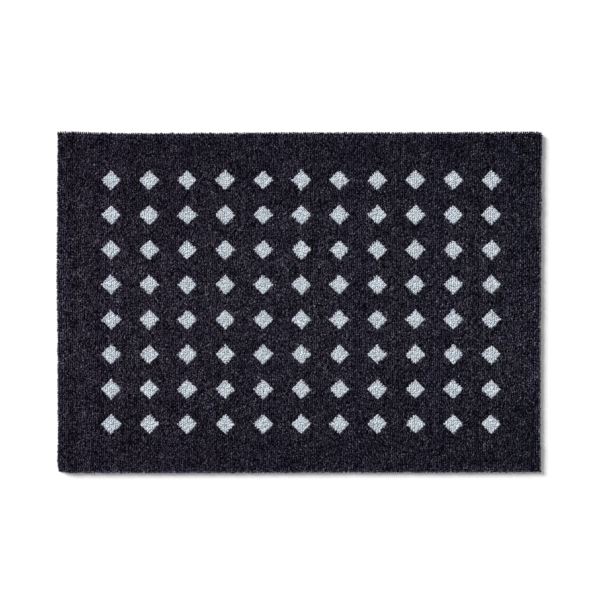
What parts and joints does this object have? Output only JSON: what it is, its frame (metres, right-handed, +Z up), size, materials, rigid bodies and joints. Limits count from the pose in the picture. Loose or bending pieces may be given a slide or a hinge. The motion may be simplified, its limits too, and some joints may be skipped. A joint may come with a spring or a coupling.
{
  "type": "door mat",
  "caption": "Rectangular washable door mat: cut pile with inset rows of pale diamonds, on a carrier cloth bonded to a rubber backing with a rim and grip nubs underneath.",
  "frame": {"origin": "centre of the mat's length and width, on the floor under the lowest face of the rubber", "axes": "+X along the length, +Y across the width towards diamond_row_1, +Z up out of the pile"},
  "size_m": [0.85, 0.597, 0.008],
  "materials": {
    "rubber_black": "matte moulded nitrile rubber, faintly dusty",
    "yarn_back": "flattened loops of twisted yarn",
    "carrier_cloth": "dull nonwoven polyester cloth",
    "pile_dark": "cut pile of twisted nylon yarn, charcoal with a violet cast, soft sheen",
    "pile_pale": "cut pile of twisted nylon yarn, pale blue-grey, soft sheen"
  },
  "bodies": {
    "root": {"rubber_backing": "rubber_black", "back_stitches": "yarn_back", "carrier_cloth": "carrier_cloth", "ground_pile": "pile_dark", "diamond_row_1": "pile_pale", "diamond_row_2": "pile_pale", "diamond_row_3": "pile_pale", "diamond_row_4": "pile_pale", "diamond_row_5": "pile_pale", "diamond_row_6": "pile_pale", "diamond_row_7": "pile_pale", "diamond_row_8": "pile_pale"}
  },
  "joints": []
}
